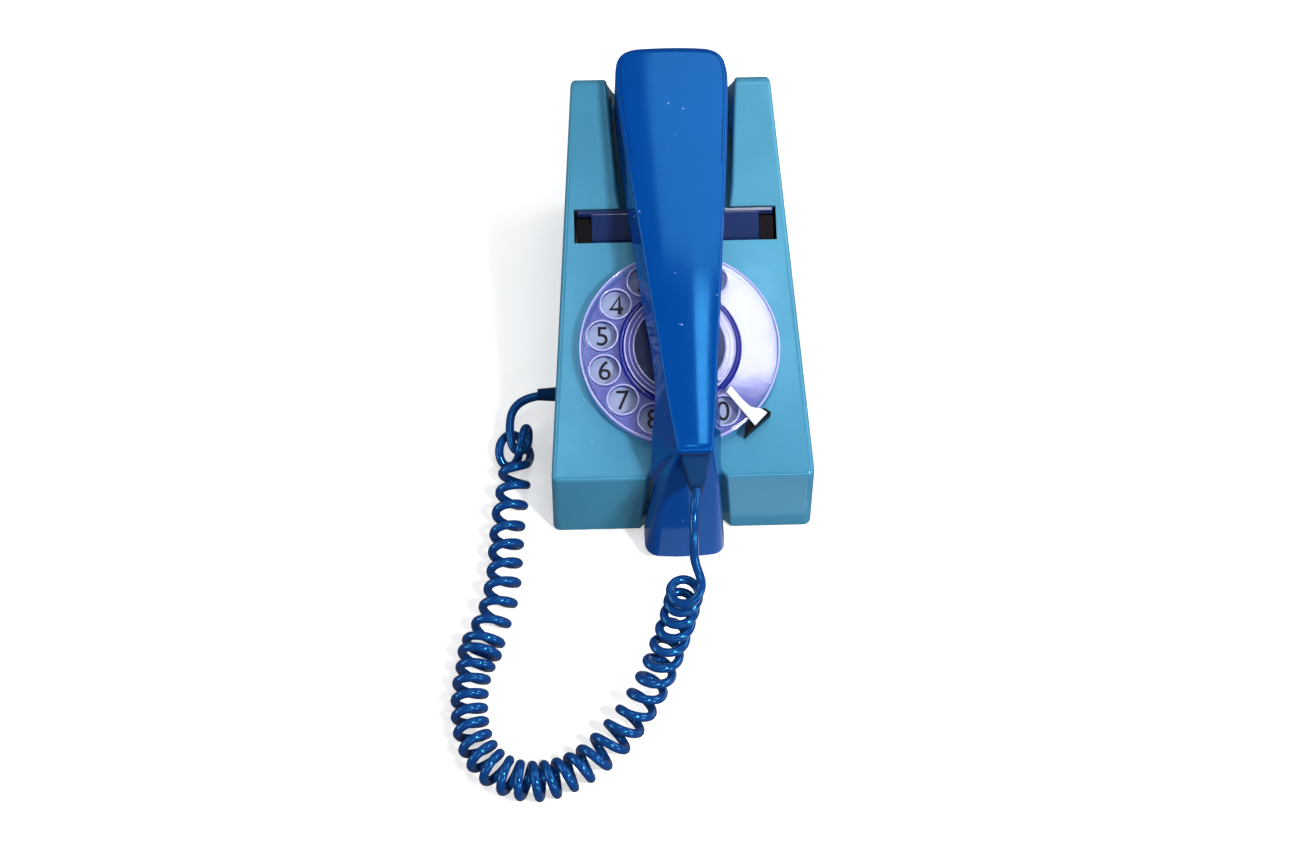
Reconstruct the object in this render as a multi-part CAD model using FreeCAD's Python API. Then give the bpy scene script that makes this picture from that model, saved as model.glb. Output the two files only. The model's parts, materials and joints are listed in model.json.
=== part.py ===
import FreeCAD, Part
import os, math
from FreeCAD import Vector as V

os.makedirs("parts", exist_ok=True)

# ---------------------------------------------------------------- dimensions
# millimetres; y = 0 is the top edge of the case's front, +y runs to the rear
SLOPE = 16.0            # angle of the sloping face
ZF = 38.0               # height of the face at its front edge
FACE_LEN = 178.0        # length of the face up the slope
HALF_FRONT = 53.5       # half width of the case at the front edge
HALF_REAR = 42.05       # half width of the case at the rear edge
WALL = 2.4              # case wall
RIM_Z = 2.0             # underside of the case rim
FRONT_LEAN = -2.5       # the front's foot stands this far forward
REAR_LEAN = -3.0        # the rear's foot stands this far in
CH_FLOOR = 66.0         # floor of the handset channel between the two horns
CH_Y0 = 109.5           # front end of the channel
CH_HW0 = 23.2           # half width at the bar
CH_HW1 = 27.2           # half width at the rear
NOTCH_HW = 16.4         # half width of the front recess at y = 0
NOTCH_D = 5.6           # depth of that recess
NOTCH_X = 1.4           # its middle, beside the middle of the case
REAR_R = 5.0            # rounding of the rear upper edge
SLOT_D0, SLOT_D1, SLOT_HW = 101.3, 116.3, 42.0   # slot of the cradle bar
DIAL_D = 53.3           # dial centre, measured up the face
WHEEL_R = 40.8          # finger wheel
WHEEL_H0, WHEEL_H1 = 3.4, 6.4
HOLE_PCR, HOLE_R = 32.0, 6.2
HOLE_A0, HOLE_DA = 63.5, 26.5   # first hole, and the step to the next
SPINDLE_R = 4.0
FIT = 0.05              # running clearance of a shaft in its hole
MODULE, N_MAIN, N_PIN = 0.6, 56, 14
GEAR_C = MODULE * (N_MAIN + N_PIN) / 2.0
GOV_ANG = 200.0
PIVOT = (130.0, 68.0)   # y, z of the cradle bar's two pivot pins
# handset, before it is laid a little askew on the case
HS_TIP = (-7.3, 71.5)
HS_RISE = 0.1589
HS_ROLL, HS_YAW, HS_SHIFT = 2.5, 1.326, 3.85
HS_T = 2.0
CORD_D, COIL_D = 4.0, 15.4

TAN = math.tan(math.radians(SLOPE))
COS = math.cos(math.radians(SLOPE))
SIN = math.sin(math.radians(SLOPE))
Y_REAR = FACE_LEN * COS
Z_REAR = ZF + FACE_LEN * SIN
TAPER = (HALF_FRONT - HALF_REAR) / Y_REAR

nodes = {}


# ------------------------------------------------------------------- helpers
def wire2(points):
    return Part.Wire(Part.makePolygon(points + [points[0]]))


def prism_yz(pts, x0, x1):
    f = Part.Face(wire2([V(x0, y, z) for y, z in pts]))
    return f.extrude(V(x1 - x0, 0, 0))


def prism_xy(pts, z0, z1):
    f = Part.Face(wire2([V(x, y, z0) for x, y in pts]))
    return f.extrude(V(0, 0, z1 - z0))


def box(x0, x1, y0, y1, z0, z1):
    return Part.makeBox(x1 - x0, y1 - y0, z1 - z0, V(x0, y0, z0))


def cyl(r, p, d, h):
    return Part.makeCylinder(r, h, V(*p), V(*d))


def tube(ro, ri, p, d, h):
    return cyl(ro, p, d, h).cut(cyl(ri, p, d, h))


def fuse(*s):
    r = s[0]
    for k in s[1:]:
        r = r.fuse(k)
    return r.removeSplitter()


def soften(shape, radius, pick):
    edges = [e for e in shape.Edges if pick(e)]
    for r in (radius, radius * 0.8, radius * 0.6, radius * 0.4):
        try:
            s = shape.makeFillet(r, edges)
            if s.isValid() and s.Volume > 0:
                return s
        except Exception:
            pass
    print("not rounded", radius, len(edges))
    return shape


def to_face(s):
    # from (x, up the slope, above the face) to the part
    s = s.copy()
    s.rotate(V(0, 0, 0), V(1, 0, 0), SLOPE)
    s.translate(V(0, 0, ZF))
    return s


def face_pt(x, d, h):
    return (x, d * COS - h * SIN, ZF + d * SIN + h * COS)


def to_dial(s):
    # from dial axes (centre at 0, 0, height above the face) to the part
    s = s.copy()
    s.translate(V(0, DIAL_D, 0))
    return to_face(s)


def plan(inset, y0, y1, z0, z1):
    def hw(y):
        return HALF_FRONT - TAPER * y - inset
    return prism_xy([(-hw(y0), y0), (hw(y0), y0), (hw(y1), y1), (-hw(y1), y1)], z0, z1)


def solids(shape):
    return Part.makeCompound(shape) if isinstance(shape, list) else shape


def put(name, shape):
    nodes[name] = solids(shape)


# ------------------------------------------------------------ case and base
def wedge(inset, bottom):
    n = inset / COS
    a, b = V(-70, FRONT_LEAN + inset, bottom), V(-70, inset, ZF - n + inset * TAN)
    c, d = V(-70, Y_REAR - inset, Z_REAR - n - inset * TAN), V(-70, Y_REAR + REAR_LEAN - inset, bottom)
    # the rear upper edge is an arc of the profile
    u, w = (b - c).normalize(), (d - c).normalize()
    half = u.getAngle(w) / 2.0
    r = max(REAR_R - inset, 1.0)
    run, far = r / math.tan(half), r / math.sin(half)
    mid = c + (u + w).normalize() * (far - r)
    p, q = c + u * run, c + w * run
    prof = Part.Wire([Part.LineSegment(a, b).toShape(), Part.LineSegment(b, p).toShape(), Part.Arc(p, mid, q).toShape(),
                      Part.LineSegment(q, d).toShape(), Part.LineSegment(d, a).toShape()])
    return Part.Face(prof).extrude(V(140, 0, 0)).common(plan(inset, -10, Y_REAR + 10, 0, 130))


def channel(grow, top):
    y1 = Y_REAR + 12
    k = (CH_HW1 - CH_HW0) / (Y_REAR - CH_Y0)
    a, b = CH_HW0 + grow - k * grow, CH_HW0 + grow + k * (y1 - CH_Y0)
    return prism_xy([(-a, CH_Y0 - grow), (a, CH_Y0 - grow), (b, y1), (-b, y1)], CH_FLOOR - grow, top)


def notch(grow):
    g = grow * 1.4142
    w = NOTCH_HW + g
    return prism_xy([(NOTCH_X - w - 12, -12), (NOTCH_X + w + 12, -12), (NOTCH_X + w - NOTCH_D - grow, NOTCH_D + grow),
                     (NOTCH_X - w + NOTCH_D + grow, NOTCH_D + grow)], -5, 120)


outer = wedge(0.0, RIM_Z)
outer = soften(outer, 3.2, lambda e: abs(e.Vertexes[0].Z - e.Vertexes[-1].Z) > 20 and
               abs(abs(e.Vertexes[0].X) - abs(e.Vertexes[-1].X)) < 4 and e.Vertexes[0].Y < 10 and e.Vertexes[-1].Y < 10)
outer = soften(outer, 2.2, lambda e: (abs(e.Vertexes[0].X) > 30 and abs(e.Vertexes[-1].X) > 30 and abs(abs(e.Vertexes[0].X) - abs(e.Vertexes[-1].X)) < 13 and
                                      e.Vertexes[0].X * e.Vertexes[-1].X > 0 and max(v.Z for v in e.Vertexes) > ZF - 6 and max(v.Y for v in e.Vertexes) > 10) or
               min(v.Z for v in e.Vertexes) > ZF - 6 and max(v.Y for v in e.Vertexes) < 10)
channel_cut = channel(0.0, 140)
channel_cut = soften(channel_cut, 6.5, lambda e: e.Vertexes[0].Z < CH_FLOOR + 0.1 and
                     e.Vertexes[-1].Z < CH_FLOOR + 0.1 and abs(e.Vertexes[0].Y - e.Vertexes[-1].Y) > 20)
notch_cut = notch(0.0)
cavity = wedge(WALL, RIM_Z - 2.0).cut(channel(WALL, 140)).cut(notch(WALL))
shell = outer.cut(cavity).cut(channel_cut).cut(notch_cut)

slot = to_face(box(-SLOT_HW, SLOT_HW, SLOT_D0, SLOT_D1, -12, 8))
slot = slot.common(box(-60, 60, 60, 140, CH_FLOOR - 8, 120))
shell = shell.cut(slot)
shell = shell.cut(to_dial(cyl(36.0, (0, 0, -9), (0, 0, 1), 18)))


def lip(e):
    # the mouth edges of channel and recess on the face, and the channel's rear edges
    a, b = e.Vertexes[0].Point, e.Vertexes[-1].Point
    on = all(abs(p.z - (ZF + p.y * TAN)) < 0.15 for p in (a, b))
    if not on:
        return False
    long_ch = all(p.y > 118 and abs(p.x) < 30 for p in (a, b)) and abs(a.y - b.y) > 20
    front = all(p.y < 8 and abs(p.x) < 22 for p in (a, b)) and abs(a.y - b.y) > 2
    return long_ch or front


shell = soften(shell, 1.4, lip)

POSTS = [(-41, 15), (41, 15), (-35, 146), (35, 146)]
for px, py in POSTS:
    top = ZF + py * TAN - 1.2
    shell = shell.fuse(cyl(3.8, (px, py, 4.6), (0, 0, 1), top - 4.6 - 1.5))
for px, py in POSTS:
    shell = shell.cut(cyl(1.55, (px, py, 0), (0, 0, 1), 20))
BOOT_Y, BOOT_Z = 58.0, 12.0
BOOT_X = -(HALF_FRONT - TAPER * BOOT_Y)
shell = shell.cut(cyl(3.25, (BOOT_X - 6, BOOT_Y, BOOT_Z), (1, 0, 0), 14))
GLAND = (18.0, 12.0)
shell = shell.cut(cyl(4.2, (GLAND[0], Y_REAR - 14, GLAND[1]), (0, 1, 0), 30))
put("case_shell", shell.removeSplitter())

base = prism_yz([(FRONT_LEAN + 2.9, RIM_Z + 0.2), (FRONT_LEAN + 3.0, RIM_Z + 2.2), (Y_REAR + REAR_LEAN - 2.8, RIM_Z + 2.2),
                 (Y_REAR + REAR_LEAN - 2.9, RIM_Z + 0.2)], -70, 70).common(plan(WALL + 0.4, -10, Y_REAR, 0, 20))
base = base.cut(notch(WALL + 0.4))
for px, py in POSTS:
    base = base.cut(cyl(1.8, (px, py, 0), (0, 0, 1), 20))
for k in range(6):
    base = base.cut(box(-16, 16, 132 + 3.6 * k, 133.6 + 3.6 * k, 0, 9))
put("base_plate", base)
FEET = [(-38, 24), (38, 24), (-32, 136), (32, 136)]
put("rubber_feet", [soften(cyl(6.5, (x, y, 0), (0, 0, 1), RIM_Z + 0.2), 0.8, lambda e: e.Vertexes[0].Z < 0.1) for x, y in FEET])
put("base_screws", [fuse(cyl(2.9, (x, y, 0.7), (0, 0, 1), 1.5), cyl(1.5, (x, y, 2.2), (0, 0, 1), 13)).cut(
    box(x - 2.2, x + 2.2, y - 0.4, y + 0.4, 0.5, 1.4)) for x, y in POSTS])

gl = fuse(tube(4.15, 2.4, (GLAND[0], Y_REAR - 11, GLAND[1]), (0, 1, 0), 11), tube(6.0, 2.4, (GLAND[0], Y_REAR - 1.6, GLAND[1]), (0, 1, 0), 2.6))
put("line_cord_gland", gl)

# ------------------------------------------------------------------- the dial
plate = tube(38.6, 6.0, (0, 0, 0.1), (0, 0, 1), 1.2)
put("number_plate", to_dial(plate))

wheel = cyl(WHEEL_R, (0, 0, WHEEL_H0), (0, 0, 1), WHEEL_H1 - WHEEL_H0)
wheel = soften(wheel, 1.1, lambda e: e.Vertexes[0].Z > WHEEL_H1 - 0.1)
wheel = wheel.fuse(tube(WHEEL_R, WHEEL_R - 1.5, (0, 0, 1.6), (0, 0, 1), WHEEL_H0 - 1.6)).removeSplitter()
wheel = wheel.cut(cyl(SPINDLE_R, (0, 0, 0), (0, 0, 1), 20))
HOLES = []
for k in range(10):
    a = math.radians(HOLE_A0 + HOLE_DA * k)
    HOLES.append((HOLE_PCR * math.cos(a), HOLE_PCR * math.sin(a)))
for x, y in HOLES:
    wheel = wheel.cut(cyl(HOLE_R, (x, y, 0), (0, 0, 1), 20))
wheel = soften(wheel, 0.5, lambda e: abs(e.Vertexes[0].Z - WHEEL_H1) < 0.05 and isinstance(e.Curve, Part.Circle) and abs(e.Curve.Radius - HOLE_R) < 0.05)
put("finger_wheel", to_dial(wheel))
ring = soften(tube(22.8, 18.5, (0, 0, WHEEL_H1), (0, 0, 1), 1.5), 0.7, lambda e: e.Vertexes[0].Z > WHEEL_H1 + 1.4)
put("dial_centre_ring", to_dial(ring))
put("dial_centre_label", to_dial(cyl(18.4, (0, 0, WHEEL_H1), (0, 0, 1), 0.6)))
put("dial_spindle", to_dial(cyl(SPINDLE_R, (0, 0, -23.0), (0, 0, 1), WHEEL_H1 + 23.0)))


def gear(teeth, bore, z0, width, shift):
    rp = MODULE * teeth / 2.0
    rb = rp * math.cos(math.radians(20))
    ra, rf = rp + 0.8 * MODULE, rp - 1.1 * MODULE

    def inv(r):
        c = min(1.0, rb / r)
        t = math.acos(c)
        return math.tan(t) - t
    half = (math.pi * MODULE / 2.0 - 0.10) / 2.0 / rp
    rs = [max(rb, rf) + (ra - max(rb, rf)) * k / 4.0 for k in range(5)]
    pts = []
    for i in range(teeth):
        c = 2 * math.pi * i / teeth + shift
        pts.append((rf, c - half - inv(rp) + inv(rs[0])))
        for r in rs:
            pts.append((r, c - (half + inv(rp) - inv(r))))
        for r in reversed(rs):
            pts.append((r, c + (half + inv(rp) - inv(r))))
        pts.append((rf, c + half + inv(rp) - inv(rs[0])))
    out, last = [], None
    for r, a in pts:
        p = V(r * math.cos(a), r * math.sin(a), z0)
        if last is None or (p - last).Length > 1e-3:
            out.append(p)
            last = p
    f = Part.Face(wire2(out))
    g = f.extrude(V(0, 0, width))
    return g.cut(cyl(bore, (0, 0, z0 - 1), (0, 0, 1), width + 2))


ga = math.radians(GOV_ANG)
GX, GY = GEAR_C * math.cos(ga), GEAR_C * math.sin(ga)
main_gear = gear(N_MAIN, SPINDLE_R, -10.0, 2.0, ga)
for k in range(5):
    a = 2 * math.pi * k / 5 + 0.3
    main_gear = main_gear.cut(cyl(3.1, (9.6 * math.cos(a), 9.6 * math.sin(a), -12), (0, 0, 1), 5))
put("dial_main_gear", to_dial(main_gear))
pinion = gear(N_PIN, 1.5, -11.0, 4.0, ga + math.pi + math.pi / N_PIN)
pinion.translate(V(GX, GY, 0))
put("governor_pinion", to_dial(pinion))
put("governor_shaft", to_dial(cyl(1.5, (GX, GY, -25.0), (0, 0, 1), 23.4)))
weights = []
for s in (-1, 1):
    w = tube(7.6, 5.2, (GX, GY, -20.0), (0, 0, 1), 5.0).common(
        Part.makeBox(20, 20, 9, V(GX - 10, GY + 1.0, -22)) if s > 0 else Part.makeBox(20, 20, 9, V(GX - 10, GY - 21.0, -22)))
    w = w.fuse(Part.makeBox(2.4, 5.6, 1.2, V(GX - 1.2, GY + 0.9 if s > 0 else GY - 6.5, -18.1)).cut(cyl(1.5, (GX, GY, -30), (0, 0, 1), 30)))
    weights.append(to_dial(w.removeSplitter()))
hub = to_dial(tube(3.0, 1.5, (GX, GY, -17.8), (0, 0, 1), 3.4).cut(Part.makeBox(2.6, 20, 1.4, V(GX - 1.3, GY - 10, -18.2))))
put("governor_weights", weights)
put("governor_hub", hub)
put("governor_cup", to_dial(tube(9.6, 8.4, (GX, GY, -22.6), (0, 0, 1), 8.6)))

frame_plate = cyl(35.4, (0, 0, -4.0), (0, 0, 1), 2.0)
frame_plate = frame_plate.cut(cyl(SPINDLE_R + FIT, (0, 0, -9), (0, 0, 1), 20)).cut(cyl(1.5 + FIT, (GX, GY, -9), (0, 0, 1), 20))
PILLARS = [(25, 13), (25, -14), (-9, 27), (-9, -28)]
for x, y in PILLARS:
    frame_plate = frame_plate.fuse(cyl(2.4, (x, y, -22.6), (0, 0, 1), 18.8))
frame_plate = frame_plate.fuse(tube(38.3, 33.5, (0, 0, -5.6), (0, 0, 1), 1.6).cut(cyl(36.3, (0, 0, -5.9), (0, 0, 1), 0.2)))
frame_plate = frame_plate.fuse(tube(34.5, 33.0, (0, 0, -2.2), (0, 0, 1), 2.3)).removeSplitter()
put("dial_frame", to_dial(frame_plate))
bridge = fuse(cyl(8.0, (0, 0, -24.6), (0, 0, 1), 2.0), cyl(11.0, (GX, GY, -24.6), (0, 0, 1), 2.0),
              *[cyl(4.2, (x, y, -24.6), (0, 0, 1), 2.0) for x, y in PILLARS])
for x, y in PILLARS:
    ln = math.hypot(x, y)
    arm = Part.makeBox(ln, 6.0, 2.0, V(0, -3, -24.6))
    arm.rotate(V(0, 0, 0), V(0, 0, 1), math.degrees(math.atan2(y, x)))
    bridge = bridge.fuse(arm)
arm = Part.makeBox(GEAR_C, 10.0, 2.0, V(0, -5, -24.6))
arm.rotate(V(0, 0, 0), V(0, 0, 1), GOV_ANG)
bridge = bridge.fuse(arm).removeSplitter()
bridge = bridge.cut(cyl(SPINDLE_R + FIT, (0, 0, -30), (0, 0, 1), 20)).cut(cyl(1.5 + FIT, (GX, GY, -30), (0, 0, 1), 20))
put("dial_bridge", to_dial(bridge))
put("mainspring_drum", to_dial(fuse(tube(9.5, 8.4, (0, 0, -22.6), (0, 0, 1), 7.0), tube(8.4, SPINDLE_R + 0.5, (0, 0, -16.4), (0, 0, 1), 0.8))))
put("dial_mainspring", to_dial(tube(8.3, 5.6, (0, 0, -21.9), (0, 0, 1), 5.0)))
contacts = []
for k in range(3):
    contacts.append(to_dial(Part.makeBox(1.0, 15.0, 4.4, V(19.5 + 2.6 * k, -7.5, -18.0))))
put("pulse_contacts", contacts)
put("pulse_contact_block", to_dial(Part.makeBox(9.0, 6.0, 5.0, V(18.2, -13.6, -22.6)).cut(cyl(2.6, (25, -14, -30), (0, 0, 1), 30))))

stop_rel = [(18.2, -19.9), (20.0, -17.3), (24.6, -23.2), (27.5, -26.2), (29.6, -26.9), (31.8, -27.2), (34.4, -28.9), (29.2, -34.2)]
f = Part.Face(wire2([V(x, y, 7.0) for x, y in stop_rel]))
stop = f.extrude(V(0, 0, 1.4))
stop = soften(stop, 0.45, lambda e: e.Vertexes[0].Z > 8.3 and e.Vertexes[-1].Z > 8.3)
put("finger_stop", to_dial(stop))
foot_rel = [(25.6, -33.9), (33.2, -26.4), (36.2, -28.5), (25.2, -37.9)]
f = Part.Face(wire2([V(x, y, 0.05) for x, y in foot_rel]))
put("finger_stop_post", to_dial(f.extrude(V(0, 0, 6.95))))

# --------------------------------------------------- cradle bar and its lever
bar = to_face(prism_yz([(102.2, -6.6), (102.2, -3.6), (103.4, -2.6), (112.6, 0.9), (113.4, 1.7), (115.0, 1.8), (115.5, 1.3), (115.5, -2.4),
                        (113.0, -3.0), (106.0, -6.6)], -34.8, 34.8))
lips = [to_face(prism_yz([(113.0, -1.0), (113.4, 1.7), (115.0, 1.8), (115.5, 1.3), (115.5, -1.0)], a, b)) for a, b in ((-40.6, -34.8), (34.8, 40.6))]
bar = fuse(bar, *lips)
put("cradle_bar", bar)


ARM = [(101.5, 62.5), (110.0, 63.2), (115.0, 64.6), (124.0, 69.4), (127.6, 71.0), (131.6, 71.0), (133.0, 68.8), (132.6, 66.0), (128.0, 62.4), (116.0, 57.4), (108.0, 56.6), (102.0, 59.0)]


def lever(x0, x1):
    blk = to_face(prism_yz([(102.4, -6.6), (102.4, -3.0), (112.8, -1.4), (112.8, -6.6)], x0, x1))
    arm = prism_yz(ARM, x0, x0 + 3.2) if x0 > 0 else prism_yz(ARM, x1 - 3.2, x1)
    s = blk.fuse(arm).removeSplitter()
    return s.cut(cyl(1.5 + FIT, (-60, PIVOT[0], PIVOT[1]), (1, 0, 0), 120))


put("cradle_levers", [lever(-41.0, -34.9), lever(34.9, 41.0)])
put("cradle_pins", [cyl(1.5, (x, PIVOT[0], PIVOT[1]), (1, 0, 0), 10.4) for x in (-41.2, 30.8)])
brackets = []
for s in (-1, 1):
    x0, x1 = (39.0, 41.0) if s > 0 else (-41.0, -39.0)
    b = prism_yz([(124.5, 4.2), (124.5, 66.5), (127.0, 70.6), (133.0, 70.8), (135.5, 66.5), (135.5, 4.2)], x0, x1)
    b = b.cut(cyl(1.5, (-60, PIVOT[0], PIVOT[1]), (1, 0, 0), 120))
    b = fuse(b, box(x0 - 5 if s > 0 else x1, x0 if s > 0 else x1 + 5, 124.5, 135.5, 4.2, 5.8))
    brackets.append(b)
put("cradle_brackets", brackets)
put("cradle_spring", tube(2.9, 1.55, (31.0, PIVOT[0], PIVOT[1]), (1, 0, 0), 3.4))

# ------------------------------------------------------------- inside the case
BZ = 8.0
board = box(-36, 36, 62, 118, BZ, BZ + 1.6)
put("circuit_board", board)
put("board_pillars", [cyl(2.5, (x, y, 4.2), (0, 0, 1), BZ - 4.2) for x, y in ((-32, 66), (32, 66), (-32, 114), (32, 114))])
tr = fuse(box(-26, -4, 94, 112, BZ + 1.6, BZ + 17.6), box(-23, -7, 90.5, 115.5, BZ + 4.6, BZ + 14.6))
put("speech_transformer", tr)
put("capacitors", [cyl(5.0, (8, 101, BZ + 1.6), (0, 0, 1), 16.0), cyl(4.0, (19, 106, BZ + 1.6), (0, 0, 1), 12.0), cyl(3.0, (19, 95, BZ + 1.6), (0, 0, 1), 9.0)])
term = box(-20, 20, 64, 71, BZ + 1.6, BZ + 8.6)
for k in range(7):
    term = term.cut(cyl(1.4, (-16.5 + 5.5 * k, 67.5, BZ + 4), (0, 0, 1), 9))
put("terminal_block", term)
put("hook_switch", fuse(box(28.0, 35.0, 99.0, 112.0, BZ + 1.6, BZ + 34.0), box(30.0, 33.0, 104.0, 107.0, BZ + 34.0, 54.2)))
put("tone_sounder", fuse(cyl(17.0, (0, 140, 5.2), (0, 0, 1), 9.0), cyl(11.0, (0, 140, 14.2), (0, 0, 1), 5.0)).cut(cyl(1.2, (0, 140, 15), (0, 0, 1), 9)))
put("sounder_clip", fuse(box(-20.5, -17.2, 136, 144, 4.2, 15.5), box(17.2, 20.5, 136, 144, 4.2, 15.5), box(-20.5, 20.5, 136, 144, 14.5, 15.8).cut(cyl(11.2, (0, 140, 10), (0, 0, 1), 20))
                         ).cut(cyl(17.1, (0, 140, 0), (0, 0, 1), 14.4)))


# ------------------------------------------------------------------ the handset
def z_top(y):
    return HS_TIP[1] + (y - HS_TIP[0]) * HS_RISE


# outer edge (y, z), inner edge (y, z), half widths outer/inner, corner radii
STATIONS = [
    ((172.0, z_top(172.0) - 1.0), (171.0, 73.0), 20.6, 20.4, 5.0, 5.0),
    ((169.5, z_top(169.5)), (168.5, 71.2), 22.6, 22.4, 2.0, 3.0),
    ((159.0, z_top(159.0)), (159.0, 70.8), 23.5, 23.3, 1.4, 3.0),
    ((146.0, z_top(146.0)), (146.0, 70.6), 22.8, 22.7, 1.4, 3.0),
    ((131.0, z_top(131.0)), (131.0, 70.6), 21.5, 21.9, 1.4, 3.0),
    ((121.0, z_top(121.0)), (121.0, 71.4), 20.6, 21.4, 1.4, 3.0),
    ((113.0, z_top(113.0)), (112.5, 72.5), 19.8, 21.0, 1.4, 3.0),
    ((101.0, z_top(101.0)), (100.5, 73.2), 18.5, 20.0, 1.4, 3.0),
    ((86.0, z_top(86.0)), (85.0, 72.7), 16.8, 18.4, 1.4, 3.5),
    ((60.0, z_top(60.0)), (59.0, 69.2), 14.3, 15.8, 1.4, 3.5),
    ((42.0, z_top(42.0)), (41.5, 66.4), 12.4, 13.6, 1.4, 3.5),
    ((25.0, z_top(25.0)), (26.5, 63.8), 10.7, 12.9, 1.4, 3.5),
    ((10.0, z_top(10.0)), (16.0, 60.8), 9.1, 13.4, 1.4, 3.5),
    ((0.5, z_top(0.5)), (11.0, 57.0), 7.9, 14.1, 1.4, 3.5),
    ((-7.3, z_top(-7.3)), (8.0, 53.0), 6.85, 14.6, 1.4, 3.8),
    ((-8.6, 63.5), (6.2, 48.0), 8.1, 14.7, 1.8, 4.2),
    ((-10.4, 51.5), (4.4, 40.0), 10.0, 14.4, 2.4, 4.6),
    ((-12.8, 37.0), (3.0, 29.0), 12.0, 14.2, 3.2, 5.0),
    ((-15.4, 21.0), (2.3, 17.0), 14.0, 15.0, 4.4, 5.6),
    ((-18.0, 6.0), (2.2, 6.0), 15.9, 15.4, 6.0, 6.5),
]


def rounded(points, radii):
    # closed wire of a polygon with rounded corners
    n = len(points)
    ins, outs, mids = [], [], []
    for i in range(n):
        p, a, b = points[i], points[i - 1], points[(i + 1) % n]
        da, db = (a - p).normalize(), (b - p).normalize()
        ang = da.getAngle(db)
        t = radii[i] / math.tan(ang / 2.0)
        bis = (da + db).normalize()
        c = p + bis * (radii[i] / math.sin(ang / 2.0))
        ins.append(p + da * t)
        outs.append(p + db * t)
        mids.append(c - bis * radii[i])
    edges = []
    for i in range(n):
        edges.append(Part.Arc(ins[i], mids[i], outs[i]).toShape())
        edges.append(Part.LineSegment(outs[i], ins[(i + 1) % n]).toShape())
    return Part.Wire(edges)


def hs_wire(st, off):
    (oy, oz), (iy, iz), ho, hi, ro, ri = st
    o, i = V(0, oy, oz), V(0, iy, iz)
    d = (o - i).normalize()
    o, i = o - d * off, i + d * off
    k = off * 1.05
    ho, hi = ho - k, hi - k
    ro, ri = max(0.4, ro - off), max(0.6, ri - off)
    return rounded([V(-ho, o.y, o.z), V(ho, o.y, o.z), V(hi, i.y, i.z), V(-hi, i.y, i.z)], [ro, ro, ri, ri])


def hs_loft(off, first, last_ext):
    sts = [list(s) for s in STATIONS]
    if first:
        (oy, oz), (iy, iz), ho, hi, ro, ri = sts[0]
        sts[0] = [(oy - off, oz), (iy - off, iz), ho, hi, ro, ri]
        sts[1] = [(sts[1][0][0] - off * 0.6, sts[1][0][1]), (sts[1][1][0] - off * 0.6, sts[1][1][1])] + sts[1][2:]
    wires = [hs_wire(s, off) for s in sts]
    if last_ext:
        w = wires[-1].copy()
        w.translate(V(0, 0, -last_ext))
        wires.append(w)
    return Part.makeLoft(wires, True, True)


HULL = hs_loft(0.0, False, 0.0)
CORE = hs_loft(HS_T, True, 3.0)
CORE_FIT = hs_loft(HS_T + 0.25, True, 3.0)
skin = HULL.cut(CORE)
seam = [(200, 76.5), (128, 76.5), (113, 77.2), (101, 77.6), (86, 77.0), (60, 73.0), (42, 70.2), (26, 67.2), (16, 64.0), (9.0, 59.0), (4.0, 52.0), (0.5, 40.0),
        (-1.5, 29.0), (-2.6, 17.0), (-3.0, 6.0), (-3.0, -20), (60, -20), (200, -20)]
below = prism_yz(seam, -60, 60)

upper = skin.cut(below)
lower = skin.common(below)
EAR_Y = 150.0
HS_SCREWS = [(125.7, 71.2, z_top(125.7)), (33.2, 65.2, z_top(33.2))]
for y, z0, z1 in HS_SCREWS:
    upper = upper.fuse(cyl(3.0, (0, y, z0 + 4.2), (0, 0, 1), z1 - z0 - 5.2).common(HULL))
    upper = upper.cut(cyl(1.45, (0, y, z0 - 5), (0, 0, 1), 12.5))
    lower = lower.cut(cyl(1.6, (0, y, z0 - 8), (0, 0, 1), 16)).cut(cyl(2.9, (0, y, z0 - 8), (0, 0, 1), 8.6))
lower = lower.cut(cyl(18.3, (0, EAR_Y, 60), (0, 0, 1), 20))
screws = [fuse(cyl(2.6, (0, y, z0 - 0.7), (0, 0, 1), 1.2), cyl(1.4, (0, y, z0 + 0.5), (0, 0, 1), 6.5)) for y, z0, z1 in HS_SCREWS]
cap = soften(cyl(18.0, (0, EAR_Y, 69.8), (0, 0, 1), 3.2), 1.2, lambda e: e.Vertexes[0].Z < 69.9)
cap = cap.cut(Part.makeSphere(24, V(0, EAR_Y, 47.4)).common(cyl(12, (0, EAR_Y, 60), (0, 0, 1), 20)))
for ringr, cnt in ((0, 1), (4.5, 6), (9.0, 12)):
    for k in range(cnt):
        a = 2 * math.pi * k / cnt
        cap = cap.cut(cyl(0.9, (ringr * math.cos(a), EAR_Y + ringr * math.sin(a), 60), (0, 0, 1), 20))
receiver = fuse(cyl(16.5, (0, EAR_Y, 73.2), (0, 0, 1), 5.0), cyl(12.5, (0, EAR_Y, 78.2), (0, 0, 1), 5.5))
clip = tube(17.9, 16.7, (0, EAR_Y, 73.6), (0, 0, 1), 2.6)
grille = CORE_FIT.common(box(-40, 40, -40, 30, 7.0, 8.8))
for k in range(5):
    y = -12.6 + 2.8 * k
    grille = grille.cut(box(-9.5, 9.5, y - 0.6, y + 0.6, 0, 20))
mic = fuse(cyl(5.4, (0, -6.6, 12.0), (0, 0, 1), 6.0), cyl(3.4, (0, -6.6, 18.0), (0, 0, 1), 3.0))
mic_seat = tube(6.0, 5.5, (0, -6.6, 8.8), (0, 0, 1), 8.0)

# tapered boot that stands out of the handset's tip


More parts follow.
